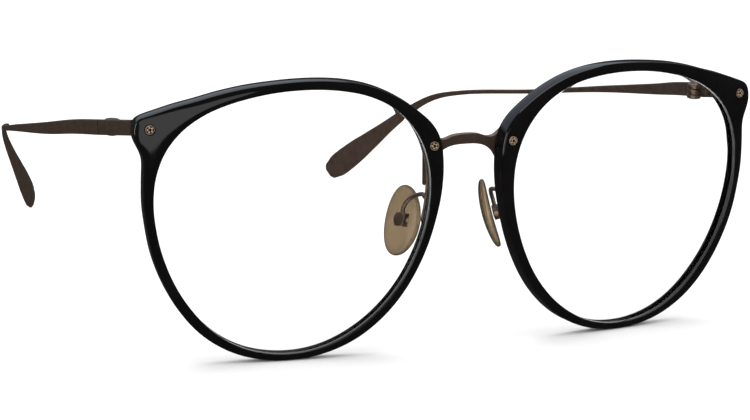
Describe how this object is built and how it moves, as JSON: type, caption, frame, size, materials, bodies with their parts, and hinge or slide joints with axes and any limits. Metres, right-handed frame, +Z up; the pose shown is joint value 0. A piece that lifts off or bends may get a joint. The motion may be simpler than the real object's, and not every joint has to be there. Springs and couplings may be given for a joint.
{
  "type": "eyeglasses",
  "caption": "Round eyeglasses with glossy acetate rims screwed to a slim metal bridge and end pieces, folding flat metal temples and rocking nose pads.",
  "frame": {"origin": "centre of the bounding box's base: the level of the table, midway between the temples and midway from the rims to the temple tips", "axes": "+X to the wearer's left, the front of the glasses faces -Y and the temples run back to +Y, +Z up"},
  "size_m": [0.136, 0.1546, 0.0537],
  "materials": {
    "acetate": "polished black cellulose acetate",
    "bronze": "satin dark bronze plated titanium",
    "gold": "satin gold coloured steel screws",
    "lens": "clear anti-reflection lens",
    "pad": "translucent smoky olive plastic, soft gloss"
  },
  "bodies": {
    "front": {"bridge": "bronze", "rim_left": "acetate", "lens_left": "lens", "outer_screw_left": "gold", "inner_screw_left": "gold", "endpiece_left": "bronze", "hinge_fork_left": "bronze", "hinge_screw_left": "gold", "pad_arm_left": "bronze", "pad_box_left": "bronze", "pad_screw_left": "gold", "rim_right": "acetate", "lens_right": "lens", "outer_screw_right": "gold", "inner_screw_right": "gold", "endpiece_right": "bronze", "hinge_fork_right": "bronze", "hinge_screw_right": "gold", "pad_arm_right": "bronze", "pad_box_right": "bronze", "pad_screw_right": "gold"},
    "temple_left_body": {"temple_left": "bronze", "hinge_eye_left": "bronze"},
    "pad_left_body": {"nose_pad_left": "pad", "pad_button_left": "bronze"},
    "temple_right_body": {"temple_right": "bronze", "hinge_eye_right": "bronze"},
    "pad_right_body": {"nose_pad_right": "pad", "pad_button_right": "bronze"}
  },
  "joints": [
    {"name": "fold_left", "type": "hinge", "parent": "front", "child": "temple_left_body", "pos_m": [0.0626, -0.05091, 0.04274], "axis": [0, -0.068, 0.9977], "range_deg": [0, 84]},
    {"name": "fold_right", "type": "hinge", "parent": "front", "child": "temple_right_body", "pos_m": [-0.0626, -0.05091, 0.04274], "axis": [0, 0.068, -0.9977], "range_deg": [0, 80]},
    {"name": "rock_pad_left", "type": "hinge", "parent": "front", "child": "pad_left_body", "pos_m": [0.00995, -0.06681, 0.02425], "axis": [0.3788, 0.9245, -0.0414], "range_deg": [-4.5, 4.5]},
    {"name": "rock_pad_right", "type": "hinge", "parent": "front", "child": "pad_right_body", "pos_m": [-0.00995, -0.06681, 0.02425], "axis": [-0.3788, 0.9245, -0.0414], "range_deg": [-4.5, 4.5]}
  ]
}
